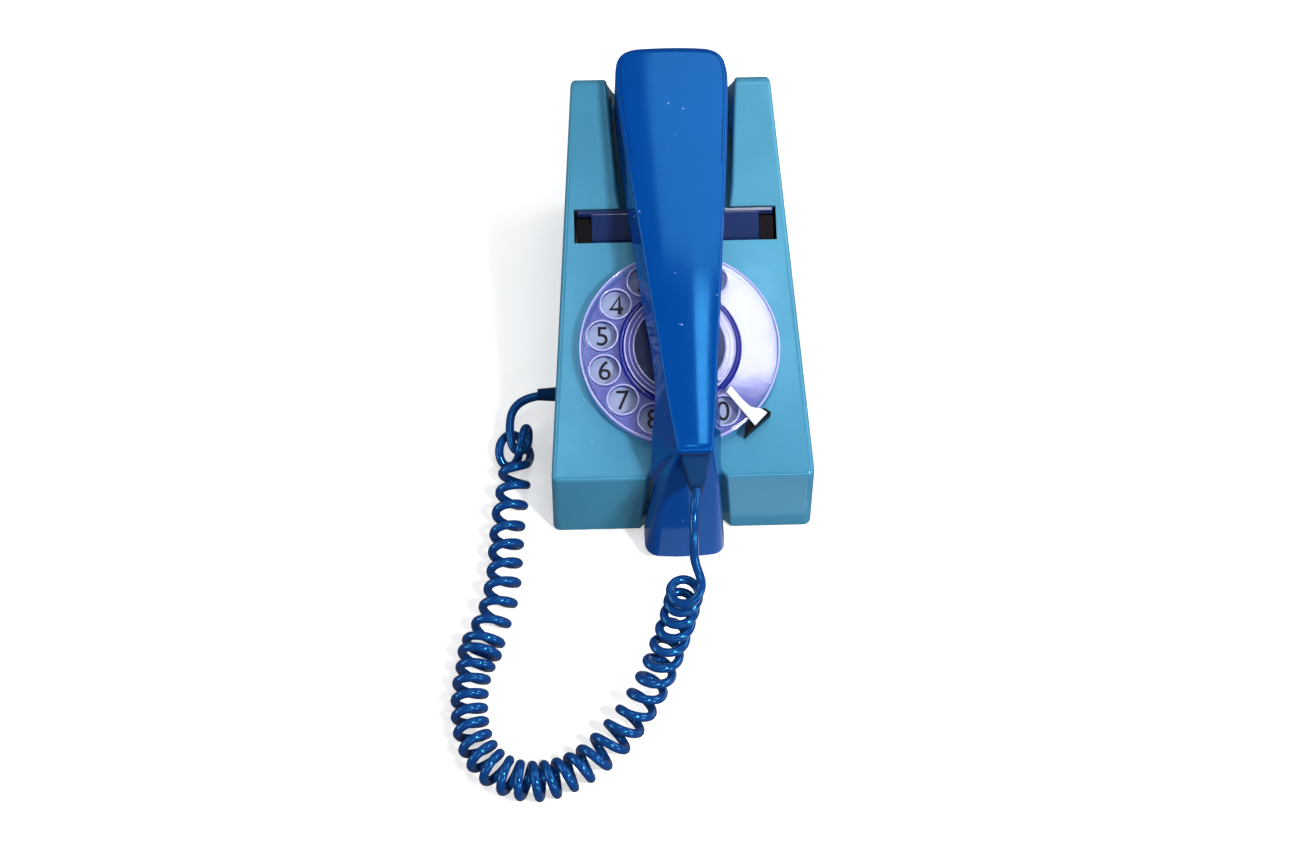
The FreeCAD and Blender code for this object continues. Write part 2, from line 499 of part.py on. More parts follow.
def quad(y, zt, zb, hw, r, lean=0.0):
    return rounded([V(-hw, y - lean, zt), V(hw, y - lean, zt), V(hw * 0.86, y, zb), V(-hw * 0.86, y, zb)], [r, r, r, r])


boot = Part.makeLoft([quad(-5.8, 69.0, 60.4, 5.7, 0.8), quad(-9.4, 69.3, 60.6, 5.7, 0.8), quad(-20.6, 68.2, 62.6, 3.05, 0.8), quad(-21.6, 67.9, 63.0, 2.75, 0.8)], True, True)
boot = boot.cut(HULL)
boot = max(boot.Solids, key=lambda s: s.Volume)

UDIR = V(0, 1, HS_RISE)
PIV = V(0, HS_TIP[0], HS_TIP[1])


def lay(s):
    s = s.copy()
    s.rotate(PIV, UDIR, HS_ROLL)
    s.rotate(PIV, V(0, 0, 1), HS_YAW)
    s.translate(V(HS_SHIFT, 0, 0))
    return s


def biggest(s):
    return max(s.Solids, key=lambda k: k.Volume)


put("handset_upper_shell", lay(biggest(upper)))
put("handset_lower_shell", lay(biggest(lower)))
put("earpiece_cap", lay(cap))
put("receiver_capsule", lay(receiver))
put("receiver_clip_ring", lay(clip))
put("mouthpiece_grille", lay(biggest(grille)))
put("transmitter_capsule", lay(mic))
put("transmitter_seat", lay(mic_seat))
put("handset_screws", [lay(s) for s in screws])
put("handset_cord_boot", lay(boot))

# --------------------------------------------------------------------- the cord


def route_wire(pts):
    pts = [V(*p) for p in pts]
    edges, radii = [], []
    cur = pts[0]
    for i in range(1, len(pts) - 1):
        p, a, b = pts[i], pts[i - 1], pts[i + 1]
        la, lb = (a - p).Length, (b - p).Length
        da, db = (a - p).normalize(), (b - p).normalize()
        turn = math.pi - da.getAngle(db)
        cut = 0.45 * min(la, lb)
        r = cut / math.tan(turn / 2.0)
        radii.append(r)
        s, e = p + da * cut, p + db * cut
        bis = (da + db).normalize()
        m = p + bis * (r / math.cos(turn / 2.0) - r)
        edges.append(Part.LineSegment(cur, s).toShape())
        edges.append(Part.Arc(s, m, e).toShape())
        cur = e
    edges.append(Part.LineSegment(cur, pts[-1]).toShape())
    return Part.Wire(edges), radii


def cord(name, pts, dia):
    w, radii = route_wire(pts)
    d = V(*pts[1]) - V(*pts[0])
    prof = Part.Wire(Part.makeCircle(dia / 2.0, V(*pts[0]), d))
    s = w.makePipeShell([prof], True, True)
    print("CORD", name, "length %.1f" % w.Length, "volume ratio %.4f" % (s.Volume / (w.Length * math.pi * dia * dia / 4)),
          "radii", " ".join("%.0f" % r for r in radii), "valid", s.isValid())
    put(name, s)
    return w


COIL = [(-69.3, 34.0, 7.8), (-68.8, 25.1, 7.8), (-70.0, 13.2, 7.8), (-72.0, -0.9, 7.8), (-73.0, -15.6, 7.8), (-73.8, -30.0, 7.8), (-76.7, -43.6, 7.8),
        (-81.9, -56.6, 7.8), (-86.2, -70.0, 7.8), (-87.8, -84.3, 7.8), (-86.1, -99.1, 7.8), (-79.1, -111.6, 7.8), (-66.8, -118.1, 7.8),
        (-52.6, -117.1, 7.8), (-39.7, -109.9, 7.8), (-29.0, -99.5, 8.5), (-20.2, -88.3, 10.5), (-13.6, -77.6, 14.1), (-9.1, -68.4, 18.7),
        (-5.4, -60.8, 24.4), (-2.6, -54.4, 30.7), (-1.1, -50.5, 36.6), (-0.8, -48.9, 41.4)]
TAIL_A = [(-59.4, 58.0, 12.0), (-63.6, 57.4, 11.8), (-67.4, 54.8, 11.0), (-70.0, 50.4, 9.8), (-71.0, 45.0, 8.8), (-70.5, 39.6, 8.1), (-69.3, 34.0, 7.8)]
b0 = lay(Part.Vertex(0, -21.6, 65.45)).Point
TAIL_B = [(b0.x, b0.y - 0.5, b0.z), (3.2, -26.7, 65.1), (2.7, -31.0, 63.8), (2.4, -34.9, 61.6), (2.3, -38.3, 58.8), (2.2, -41.2, 55.6),
          (2.3, -43.7, 52.2), (2.7, -45.8, 48.8), (3.4, -47.6, 45.6), (4.2, -49.0, 42.8), (4.6, -50.0, 40.4)]
cord("cord_coil", COIL, COIL_D)
cord("cord_tail_base", TAIL_A, CORD_D)
cord("cord_tail_handset", TAIL_B, CORD_D)

bb = Part.makeCone(3.2, 2.5, 9.6, V(BOOT_X - 0.1, BOOT_Y, BOOT_Z), V(-1, 0, 0))
bb = fuse(bb, cyl(3.2, (BOOT_X + 3.2, BOOT_Y, BOOT_Z), (-1, 0, 0), 3.4), cyl(4.4, (BOOT_X + 5.0, BOOT_Y, BOOT_Z), (-1, 0, 0), 1.6))
bb = bb.common(box(-59.35, 0, 40, 80, 0, 40))
put("base_cord_boot", bb)

# ------------------------------------- move the frame under the middle and write
CORDS = ("cord_coil", "cord_tail_base", "cord_tail_handset", "base_cord_boot", "handset_cord_boot")
lo = [min(s.optimalBoundingBox(False).YMin for n, s in nodes.items() if n not in CORDS), max(s.optimalBoundingBox(False).YMax for n, s in nodes.items() if n not in CORDS)]
OFF_Y = -(lo[0] + lo[1]) / 2.0
for name, s in nodes.items():
    s.translate(V(0, OFF_Y, 0))
    if not s.isValid():
        print("INVALID", name)
    s.exportStep("parts/%s.step" % name)


def ref(tag, p):
    print("REF", tag, "%.5f %.5f %.5f" % (p[0], p[1] + OFF_Y, p[2]))


print("OFF_Y %.5f" % OFF_Y, "nodes", len(nodes))
ref("dial", face_pt(0, DIAL_D, 0))
gp = face_pt(GX, DIAL_D + GY, -10)
ref("gov", gp)
ref("pivot", (0, PIVOT[0], PIVOT[1]))
for i, (x, y) in enumerate(HOLES):
    ref("hole%d" % i, face_pt(x, DIAL_D + y, 4.2))
ref("boot_hs", (b0.x, b0.y, b0.z))
for tag, pts in (("coil", COIL), ("taila", TAIL_A), ("tailb", TAIL_B)):
    print("ROUTE", tag, [tuple(round(c, 3) for c in (p[0], p[1] + OFF_Y, p[2])) for p in pts])
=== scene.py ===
import bpy
import bmesh
import json
import math
import numpy as np
from mathutils import Matrix, Vector


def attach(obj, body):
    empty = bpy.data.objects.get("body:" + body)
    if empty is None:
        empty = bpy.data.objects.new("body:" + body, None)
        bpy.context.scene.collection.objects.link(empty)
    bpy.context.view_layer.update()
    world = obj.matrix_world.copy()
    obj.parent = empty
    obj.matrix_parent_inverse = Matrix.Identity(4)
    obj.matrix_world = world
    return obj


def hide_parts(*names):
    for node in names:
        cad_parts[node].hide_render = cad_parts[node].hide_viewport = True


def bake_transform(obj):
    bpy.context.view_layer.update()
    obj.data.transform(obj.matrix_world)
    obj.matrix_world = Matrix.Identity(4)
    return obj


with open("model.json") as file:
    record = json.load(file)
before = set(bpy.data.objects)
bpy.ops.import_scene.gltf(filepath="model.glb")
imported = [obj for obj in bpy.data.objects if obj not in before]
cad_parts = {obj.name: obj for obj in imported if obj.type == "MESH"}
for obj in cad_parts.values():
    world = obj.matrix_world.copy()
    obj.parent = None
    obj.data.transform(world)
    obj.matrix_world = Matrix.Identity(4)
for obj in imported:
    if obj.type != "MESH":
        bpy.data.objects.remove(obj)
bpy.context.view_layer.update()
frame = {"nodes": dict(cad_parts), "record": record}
nodes = frame["nodes"]
MM = 0.001
OFF_Y = -77.05123


def P(x, y, z):
    # drawing coordinates (mm, y = 0 at the front edge of the case) to the part's frame
    return Vector((x * MM, (y + OFF_Y) * MM, z * MM))


# ------------------------------------------------------------------- materials
def new_mat(name):
    m = bpy.data.materials.new(name)
    m.use_nodes = True
    nt = m.node_tree
    nt.nodes.clear()
    out = nt.nodes.new("ShaderNodeOutputMaterial")
    b = nt.nodes.new("ShaderNodeBsdfPrincipled")
    nt.links.new(b.outputs[0], out.inputs[0])
    return m, nt, b, out


def noise(nt, scale, detail=3.0, rough=0.55, stretch=None):
    tc = nt.nodes.new("ShaderNodeTexCoord")
    n = nt.nodes.new("ShaderNodeTexNoise")
    n.inputs["Scale"].default_value = scale
    n.inputs["Detail"].default_value = detail
    n.inputs["Roughness"].default_value = rough
    if stretch:
        mp = nt.nodes.new("ShaderNodeMapping")
        mp.inputs["Scale"].default_value = stretch
        nt.links.new(tc.outputs["Object"], mp.inputs[0])
        nt.links.new(mp.outputs[0], n.inputs["Vector"])
    else:
        nt.links.new(tc.outputs["Object"], n.inputs["Vector"])
    return n


def ramp(nt, src, stops):
    r = nt.nodes.new("ShaderNodeValToRGB")
    el = r.color_ramp.elements
    while len(el) > 1:
        el.remove(el[0])
    for i, (p, c) in enumerate(stops):
        e = el[0] if i == 0 else el.new(p)
        e.position = p
        if isinstance(c, (int, float)):
            c = (c, c, c)
        e.color = (c[0], c[1], c[2], 1.0)
    nt.links.new(src, r.inputs[0])
    return r.outputs[0]


def bump(nt, b, src, strength, dist):
    n = nt.nodes.new("ShaderNodeBump")
    n.inputs["Strength"].default_value = strength
    n.inputs["Distance"].default_value = dist
    nt.links.new(src, n.inputs["Height"])
    nt.links.new(n.outputs[0], b.inputs["Normal"])


def shade(c, k):
    return tuple(max(0.0, min(1.0, v * k)) for v in c)


def plastic(name, color, rough=0.22, var=0.05, tint=0.05, b_scale=700.0, b_strength=0.04, metallic=0.0, ior=1.45, dust=0.0, sheen=(1.0, 1.0, 1.0), stretch=None):
    m, nt, b, out = new_mat(name)
    big = noise(nt, 28.0, 4.0)
    col = ramp(nt, big.outputs["Fac"], [(0.3, shade(color, 1.0 - tint)), (0.7, shade(color, 1.0 + tint))])
    if dust > 0:
        # a few small pale specks lying on the surface
        sp = noise(nt, 430.0, 1.0, 0.4)
        fac = ramp(nt, sp.outputs["Fac"], [(0.80, 0.0), (0.825, dust)])
        mx = nt.nodes.new("ShaderNodeMix")
        mx.data_type = "RGBA"
        nt.links.new(fac, mx.inputs[0])
        nt.links.new(col, mx.inputs[6])
        mx.inputs[7].default_value = (0.55, 0.68, 0.85, 1.0)
        col = mx.outputs[2]
    nt.links.new(col, b.inputs["Base Color"])
    mid = noise(nt, 95.0, 5.0, 0.6, stretch)
    nt.links.new(ramp(nt, mid.outputs["Fac"], [(0.3, max(0.02, rough - var)), (0.7, rough + var)]), b.inputs["Roughness"])
    fine = noise(nt, b_scale, 3.0, 0.55, stretch)
    bump(nt, b, fine.outputs["Fac"], b_strength, 0.0004)
    b.inputs["Metallic"].default_value = metallic
    b.inputs["IOR"].default_value = ior
    b.inputs["Specular Tint"].default_value = (*sheen, 1.0)
    return m


def clear(name, color, tint, solid, rough=0.06, ior=2.2):
    # clear coloured acrylic: a tinted see-through part mixed with a glossy body
    m, nt, b, out = new_mat(name)
    big = noise(nt, 60.0, 3.0)
    nt.links.new(ramp(nt, big.outputs["Fac"], [(0.3, shade(color, 0.94)), (0.7, shade(color, 1.06))]), b.inputs["Base Color"])
    mid = noise(nt, 90.0, 4.0)
    nt.links.new(ramp(nt, mid.outputs["Fac"], [(0.3, max(0.02, rough - 0.02)), (0.7, rough + 0.03)]), b.inputs["Roughness"])
    fine = noise(nt, 400.0, 2.0)
    bump(nt, b, fine.outputs["Fac"], 0.03, 0.0003)
    b.inputs["IOR"].default_value = ior
    t = nt.nodes.new("ShaderNodeBsdfTransparent")
    t.inputs[0].default_value = (*tint, 1.0)
    mix = nt.nodes.new("ShaderNodeMixShader")
    mix.inputs[0].default_value = solid
    nt.links.new(t.outputs[0], mix.inputs[1])
    nt.links.new(b.outputs[0], mix.inputs[2])
    nt.links.new(mix.outputs[0], out.inputs[0])
    return m


TEAL, ROYAL = (0.30, 0.72, 1.0), (0.07, 0.52, 1.0)
MAT = {
    "case_blue": plastic("case_blue", (0.043, 0.193, 0.314), 0.17, 0.04, 0.03, 520.0, 0.04, ior=1.5, dust=0.3, sheen=TEAL),
    "base_grey": plastic("base_grey", (0.30, 0.33, 0.36), 0.45, 0.08, 0.06, 900.0, 0.10),
    "foot_rubber": plastic("foot_rubber", (0.025, 0.025, 0.028), 0.75, 0.10, 0.15, 1500.0, 0.25),
    "steel": plastic("steel", (0.55, 0.56, 0.58), 0.32, 0.10, 0.05, 400.0, 0.06, metallic=1.0, stretch=(1.0, 12.0, 1.0)),
    "black_plastic": plastic("black_plastic", (0.0025, 0.0025, 0.004), 0.55, 0.08, 0.20, 1200.0, 0.08, ior=1.16),
    "dial_grey": plastic("dial_grey", (0.265, 0.32, 0.50), 0.42, 0.06, 0.04, 900.0, 0.05, ior=1.4),
    "label_dark": plastic("label_dark", (0.008, 0.014, 0.06), 0.16, 0.04, 0.08, 500.0, 0.02, ior=1.35, sheen=(0.5, 0.6, 1.0)),
    "brass": plastic("brass", (0.70, 0.50, 0.20), 0.28, 0.08, 0.06, 500.0, 0.06, metallic=1.0, stretch=(14.0, 1.0, 1.0)),
    # pale non-metal colour for the chrome parts: painted reflection of the bright surroundings in place of a mirror
    # finish
    "chrome": plastic("chrome", (0.72, 0.80, 0.90), 0.18, 0.05, 0.02, 300.0, 0.02, ior=1.6),
    "handset_blue": plastic("handset_blue", (0.0004, 0.038, 0.208), 0.085, 0.02, 0.04, 520.0, 0.02, ior=1.5, dust=0.5, sheen=ROYAL),
    "aluminium": plastic("aluminium", (0.66, 0.67, 0.69), 0.35, 0.08, 0.05, 600.0, 0.05, metallic=1.0),
    "board_brown": plastic("board_brown", (0.27, 0.16, 0.07), 0.50, 0.08, 0.12, 800.0, 0.08),
    "iron": plastic("iron", (0.16, 0.155, 0.155), 0.55, 0.10, 0.15, 900.0, 0.15, metallic=0.6),
    "cord_blue": plastic("cord_blue", (0.004, 0.032, 0.150), 0.11, 0.03, 0.06, 1400.0, 0.03, ior=1.7, sheen=ROYAL),
    "boot_navy": plastic("boot_navy", (0.003, 0.016, 0.068), 0.30, 0.06, 0.10, 1300.0, 0.08, ior=1.38, sheen=ROYAL),
    # darker navy for the ear's rim bead: painted shade along the lip's step
    "navy_painted_shade": plastic("navy_painted_shade", (0.001, 0.016, 0.085), 0.30, 0.06, 0.10, 1300.0, 0.05, ior=1.3, sheen=ROYAL),
    "ink": plastic("ink", (0.006, 0.006, 0.012), 0.45, 0.06, 0.20, 1500.0, 0.03, ior=1.3),
    "clear_lilac": clear("clear_lilac", (0.17, 0.18, 0.55), (0.84, 0.85, 1.0), 0.24),
    # pale see-through acrylic for the rims: painted highlight along the wheel's edges
    "clear_edge_painted_highlight": clear("clear_edge_painted_highlight", (0.62, 0.64, 0.95), (0.80, 0.80, 1.0), 0.55),
    "clear_deep": clear("clear_deep", (0.004, 0.009, 0.20), (0.30, 0.30, 0.80), 0.85, ior=1.4),
    "smoke_blue": clear("smoke_blue", (0.010, 0.024, 0.100), (0.16, 0.17, 0.42), 0.80, ior=1.42),
}


def paint(obj, mat):
    obj.data.materials.clear()
    obj.data.materials.append(MAT[mat])


for sub in frame["record"]["subparts"]:
    paint(nodes[sub["node"]], sub["material_slot"])
for n in ("base_cord_boot", "handset_cord_boot"):
    paint(nodes[n], "boot_navy")


def round_edges(node, width, seg=3, angle=30.0):
    # small moulded radius on a sharp-edged node, without touching its mesh
    o = nodes[node]
    w = o.modifiers.new("join", "WELD")
    w.merge_threshold = 1e-6
    m = o.modifiers.new("edge", "BEVEL")
    m.width = width
    m.segments = seg
    m.limit_method = "ANGLE"
    m.angle_limit = math.radians(angle)
    m.harden_normals = False


# ------------------------------------------------------------------ mesh helpers
def mesh_obj(name, verts, faces, mat, smooth=True):
    me = bpy.data.meshes.new(name)
    me.from_pydata([tuple(v) for v in verts], [], faces)
    me.validate()
    me.update()
    if smooth:
        me.polygons.foreach_set("use_smooth", [True] * len(me.polygons))
    o = bpy.data.objects.new(name, me)
    bpy.context.scene.collection.objects.link(o)
    paint(o, mat)
    return o


def hermite(xs, ys, x):
    # smooth curve through a table that never overshoots it
    xs, ys = np.asarray(xs, float), np.asarray(ys, float)
    h = np.diff(xs)
    d = np.diff(ys) / h
    m = np.zeros(len(xs))
    m[0], m[-1] = d[0], d[-1]
    for i in range(1, len(xs) - 1):
        if d[i - 1] * d[i] > 0:
            w1, w2 = 2 * h[i] + h[i - 1], h[i] + 2 * h[i - 1]
            m[i] = (w1 + w2) / (w1 / d[i - 1] + w2 / d[i])
    x = np.clip(np.asarray(x, float), xs[0], xs[-1])
    k = np.clip(np.searchsorted(xs, x) - 1, 0, len(h) - 1)
    t = (x - xs[k]) / h[k]
    return ((1 + 2 * t) * (1 - t) ** 2 * ys[k] + t * (1 - t) ** 2 * h[k] * m[k] + t * t * (3 - 2 * t) * ys[k + 1] + t * t * (t - 1) * h[k] * m[k + 1])


def spline_points(points, res):
    # points (metres) read from a smooth open spline with these control points
    cu = bpy.data.curves.new("route", "CURVE")
    cu.dimensions = "3D"
    s = cu.splines.new("NURBS")
    s.points.add(len(points) - 1)
    for p, q in zip(s.points, points):
        p.co = (q[0], q[1], q[2], 1.0)
    s.order_u = 3
    s.use_endpoint_u = True
    s.resolution_u = res
    ob = bpy.data.objects.new("route", cu)
    bpy.context.scene.collection.objects.link(ob)
    bpy.context.view_layer.update()
    me = bpy.data.meshes.new_from_object(ob)
    pts = np.array([v.co for v in me.vertices], float)
    bpy.data.meshes.remove(me)
    bpy.data.objects.remove(ob)
    bpy.data.curves.remove(cu)
    return pts


def tube_mesh(name, pts, radius, sides, mat):
    pts = np.asarray(pts, float)
    tan = np.gradient(pts, axis=0)
    tan /= np.linalg.norm(tan, axis=1)[:, None]
    u = np.cross(tan[0], (0.0, 0.0, 1.0))
    u /= np.linalg.norm(u)
    verts = []
    ang = np.linspace(0, 2 * math.pi, sides, endpoint=False)
    ca, sa = np.cos(ang)[:, None], np.sin(ang)[:, None]
    for p, t in zip(pts, tan):
        u = u - t * np.dot(u, t)
        u /= np.linalg.norm(u)
        v = np.cross(t, u)
        verts.append(p + radius * (ca * u + sa * v))
    verts = np.concatenate(verts)
    n = len(pts)
    faces = []
    for i in range(n - 1):
        for j in range(sides):
            k = (j + 1) % sides
            faces.append((i * sides + j, i * sides + k, (i + 1) * sides + k, (i + 1) * sides + j))
    faces.append(tuple(range(sides - 1, -1, -1)))
    faces.append(tuple((n - 1) * sides + j for j in range(sides)))
    return mesh_obj(name, verts, faces, mat)


# -------------------------------------------------------------------- the cord
# control points of the coil's middle line, then of the loose strand at the case
# and of the straight tail at the handset (mm, part frame)
COIL_ROUTE = [
    (-69.30, -43.04, 7.80), (-68.80, -51.94, 7.80), (-70.00, -63.84, 7.80), (-72.00, -77.94, 7.80), (-73.00, -92.64, 7.80), (-73.80, -107.04, 7.80),
    (-76.70, -120.64, 7.80), (-81.90, -133.64, 7.80), (-86.20, -147.04, 7.80), (-87.80, -161.34, 7.80), (-86.10, -176.14, 7.80), (-79.10, -188.64, 7.80),
    (-66.80, -195.14, 7.80), (-52.60, -194.14, 7.80), (-39.70, -186.94, 7.80), (-29.00, -176.54, 8.50), (-20.20, -165.34, 10.50), (-13.60, -154.64, 14.10),
    (-9.10, -145.44, 18.70), (-5.40, -137.84, 24.40), (-2.60, -131.44, 30.70), (-1.10, -127.54, 36.60), (-1.30, -129.54, 42.00)]
LOOSE = [
    (-55.50, -19.20, 12.00), (-58.79, -19.71, 12.00), (-63.78, -20.76, 11.80), (-68.04, -23.27, 11.20), (-70.35, -27.03, 10.60), (-71.09, -31.24, 10.20), (-71.14, -35.71, 10.20),
    (-70.92, -39.30, 9.60), (-70.04, -42.65, 8.60), (-68.23, -44.47, 7.80), (-65.73, -44.00, 7.40), (-63.88, -41.35, 7.00), (-63.34, -38.52, 7.60),
    (-63.21, -36.05, 9.60), (-63.95, -35.43, 12.40), (-64.91, -37.53, 14.00), (-65.63, -40.79, 14.20), (-66.38, -43.84, 13.60), (-67.13, -46.52, 11.60),
    (-67.69, -48.04, 8.00), (-69.44, -48.53, 4.00), (-72.24, -48.77, 2.40), (-74.59, -47.55, 3.50), (-75.72, -45.04, 5.50), (-75.76, -41.71, 6.50),
    (-74.84, -38.38, 6.50), (-73.00, -35.20, 5.20), (-70.50, -32.89, 3.20), (-67.58, -33.73, 2.00), (-64.42, -37.79, 2.00), (-62.52, -43.64, 3.00),
    (-63.36, -47.90, 5.70), (-63.63, -49.30, 6.65)]
TAIL = [
    (4.95, -130.10, 42.55), (5.05, -128.20, 43.75), (4.55, -126.30, 45.35), (3.65, -124.55, 47.30), (2.80, -122.75, 49.60), (2.22, -120.74, 52.20), (2.27, -118.24, 55.60), (2.33, -115.34, 58.80),
    (2.43, -111.94, 61.60), (2.56, -108.04, 63.80), (3.13, -103.74, 65.10), (3.99, -99.14, 65.45), (4.00, -95.60, 65.45)]
# where along the middle line the top of each turn lies, the turn's radius and how far it leans back
TURN_S = [10.0, 19.7, 29.5, 39.5, 48.0, 56.9, 65.6, 74.6, 83.4, 92.0, 97.3, 103.4, 110.0, 116.9, 123.6, 129.9, 136.5, 142.7, 148.8, 155.4, 161.2, 167.5, 173.2, 179.3, 185.7, 192.6,
          201.3, 209.7, 217.8, 226.2, 233.8, 241.4, 248.8, 255.4, 261.6, 267.2, 273.4]
TURN_R = [5.2, 5.4, 5.6, 5.6, 5.6, 5.6, 5.8, 5.9, 5.9, 6.9, 7.3, 5.9, 5.8, 5.8, 5.8, 5.8, 5.8, 6.0, 6.1, 6.2, 6.3, 6.4, 6.3, 6.0, 5.9, 5.9, 6.1, 6.0, 5.9, 5.9, 5.9, 5.9, 5.9, 5.9, 5.9, 5.9, 5.9]
TURN_LEAN = [-22, -13, -6, -6, -6, -6, -6, -6, -6, -6, -6, -9, -9, -9, -9, -9, -9, -9, -9, -5, -5, -4, 0, 0, 2, 8, 20, 30, 38, 45, 53, 64, 74, 82, 88, 94, 100]
STRAND_R = 1.84

axis = spline_points([(x * MM, y * MM, z * MM) for x, y, z in COIL_ROUTE], 40) / MM
s_ax = np.concatenate([[0], np.cumsum(np.linalg.norm(np.diff(axis, axis=0), axis=1))])
t_ax = np.gradient(axis, s_ax, axis=0)
turns = len(TURN_S)
first, last = 7.4, 276.2
tab_s = [first] + TURN_S + [last]
tab_p = [2 * math.pi - 0.05] + [2 * math.pi * (k + 1) + math.pi / 2 for k in range(turns)] + [2 * math.pi * turns + math.pi + 0.05]
grid_s = np.linspace(first, last, 16000)
phi = np.arange(2 * math.pi, 2 * math.pi * turns + math.pi + 1e-6, 2 * math.pi / 24)
s_h = np.interp(phi, hermite(tab_s, tab_p, grid_s), grid_s)
mid = np.stack([np.interp(s_h, s_ax, axis[:, i]) for i in range(3)], 1)
head = np.stack([np.interp(np.minimum(s_h, 262.0), s_ax, t_ax[:, i]) for i in range(3)], 1)
head[:, 2] = 0
head /= np.linalg.norm(head, axis=1)[:, None]
up = np.array([0.0, 0.0, 1.0])
left = np.cross(up, head)
lean = np.radians(np.interp(s_h, TURN_S, TURN_LEAN))[:, None]
e2 = np.cos(lean) * up - np.sin(lean) * head
rad = np.interp(s_h, TURN_S, TURN_R)[:, None]
helix = mid + rad * (np.cos(phi)[:, None] * left + np.sin(phi)[:, None] * e2)
strand = np.concatenate([np.array(LOOSE), helix, np.array(TAIL)])
strand[:, 2] = np.maximum(strand[:, 2], STRAND_R + 0.05)
line = spline_points(strand * MM, 3)
cord = tube_mesh("handset_cord", line, STRAND_R * MM, 12, "cord_blue")
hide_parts("cord_coil", "cord_tail_base", "cord_tail_handset")
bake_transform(cord)

# ------------------------------------------------------------------ the handset
HS_TIP = (-7.3, 71.5)
HS_RISE = 0.1589


def z_top(y):
    return HS_TIP[1] + (y - HS_TIP[0]) * HS_RISE


# outer edge y, z; inner edge y, z; half widths outer, inner; corner radii outer, inner
STATIONS = [
    (173.5, z_top(173.5) - 2.4, 172.1, 74.2, 7.5, 7.2, 1.6, 3.0),
    (173.2, z_top(173.2) - 1.4, 171.9, 73.8, 11.2, 10.8, 1.5, 3.0),
    (172.7, z_top(172.7) - 0.75, 171.5, 73.2, 14.4, 14.0, 1.4, 3.0),
    (171.9, z_top(171.9) - 0.30, 170.9, 72.5, 17.2, 16.8, 1.4, 3.0),
    (170.8, z_top(170.8) - 0.08, 169.9, 71.9, 19.5, 19.1, 1.4, 3.0),
    (168.9, z_top(168.9), 168.1, 71.2, 21.5, 21.2, 1.4, 3.0),
    (165.5, z_top(165.5), 165.0, 70.9, 22.9, 22.7, 1.4, 3.0),
    (159.0, z_top(159.0), 159.0, 70.8, 23.5, 23.3, 1.4, 3.0),
    (146.0, z_top(146.0), 146.0, 70.6, 22.8, 22.7, 1.4, 3.0),
    (131.0, z_top(131.0), 131.0, 70.6, 21.5, 21.9, 1.4, 3.0),
    (121.0, z_top(121.0), 121.0, 71.4, 20.6, 21.4, 1.4, 3.0),
    (113.0, z_top(113.0), 112.5, 72.5, 19.8, 21.0, 1.4, 3.0),
    (101.0, z_top(101.0), 100.5, 73.2, 18.5, 20.0, 1.4, 3.0),
    (86.0, z_top(86.0), 85.0, 72.7, 16.8, 18.4, 1.4, 3.5),
    (60.0, z_top(60.0), 59.0, 69.2, 14.3, 15.8, 1.4, 3.5),
    (42.0, z_top(42.0), 41.5, 66.4, 12.4, 13.6, 1.4, 3.5),
    (25.0, z_top(25.0), 26.5, 63.8, 10.7, 12.8, 1.4, 3.5),
    (10.0, z_top(10.0), 16.0, 60.8, 9.1, 13.1, 1.4, 3.5),
    (0.5, z_top(0.5), 11.0, 57.0, 7.9, 13.4, 1.4, 3.5),
    (-7.3, z_top(-7.3), 8.0, 53.0, 6.85, 13.5, 1.4, 3.8),
    (-8.6, 63.5, 6.2, 48.0, 8.1, 13.5, 1.8, 4.2),
    (-10.4, 51.5, 4.4, 40.0, 10.0, 13.8, 2.4, 4.6),
    (-12.8, 37.0, 3.0, 29.0, 12.0, 14.2, 3.2, 5.0),
    (-15.4, 21.0, 2.3, 17.0, 14.0, 15.0, 4.4, 5.6),
    (-18.0, 6.0, 2.2, 6.0, 15.9, 15.4, 6.0, 6.5),
]
SEAM = [(200.0, 76.5), (128.0, 76.5), (113.0, 77.2), (101.0, 77.6), (86.0, 77.0), (60.0, 73.0), (42.0, 70.2), (26.0, 67.2), (16.0, 64.0), (9.0, 59.0), (4.0, 52.0), (0.5, 40.0),
        (-1.5, 29.0), (-2.6, 17.0), (-3.0, 6.0), (-3.0, -20.0)]
TIP = 19


def section_table():
    st = np.array(STATIONS)
    out = []
    for part, step in ((st[:TIP + 1], 1.6), (st[TIP:], 1.6)):
        u = np.concatenate([[0], np.cumsum(np.hypot(np.diff(part[:, 0]), np.diff(part[:, 1])))])
        g = np.linspace(0, u[-1], int(u[-1] / step) + 2)
        if part[0, 0] > 170:
            g = np.concatenate([np.arange(0.0, 8.0, 0.2), g[g > 8.1]])
        out.append((g, np.stack([hermite(u, part[:, k], g) for k in range(8)], 1)))
    (ga, a), (gb, b) = out
    # the tip edge is rounded: both runs stop short and one bend joins them
    r = 1.9
    keep_a, keep_b = a[ga < ga[-1] - r], b[gb > r]
    along = np.concatenate([ga[ga < ga[-1] - r] - ga[-1], np.linspace(-r, r, 9), gb[gb > r]])
    pa = np.array([np.interp(ga[-1] - r, ga, a[:, k]) for k in range(8)])
    pb = np.array([np.interp(r, gb, b[:, k]) for k in range(8)])
    c = a[-1]
    t = np.linspace(0, 1, 9)[:, None]
    bend = (1 - t) ** 2 * pa + 2 * t * (1 - t) * c + t * t * pb
    return np.column_stack([np.concatenate([keep_a, bend, keep_b]), along])


def lay(v):
    # from the handset's own drawing to where it lies on the telephone
    piv = Vector((0, HS_TIP[0], HS_TIP[1]))
    m = Matrix.Translation(Vector((3.85, 0, 0))) @ Matrix.Translation(piv) @ Matrix.Rotation(math.radians(1.326), 4, "Z") @ Matrix.Rotation(math.radians(2.5), 4, Vector((0, 1, HS_RISE)).normalized()) @ Matrix.Translation(-piv)
    return m @ Vector(v)


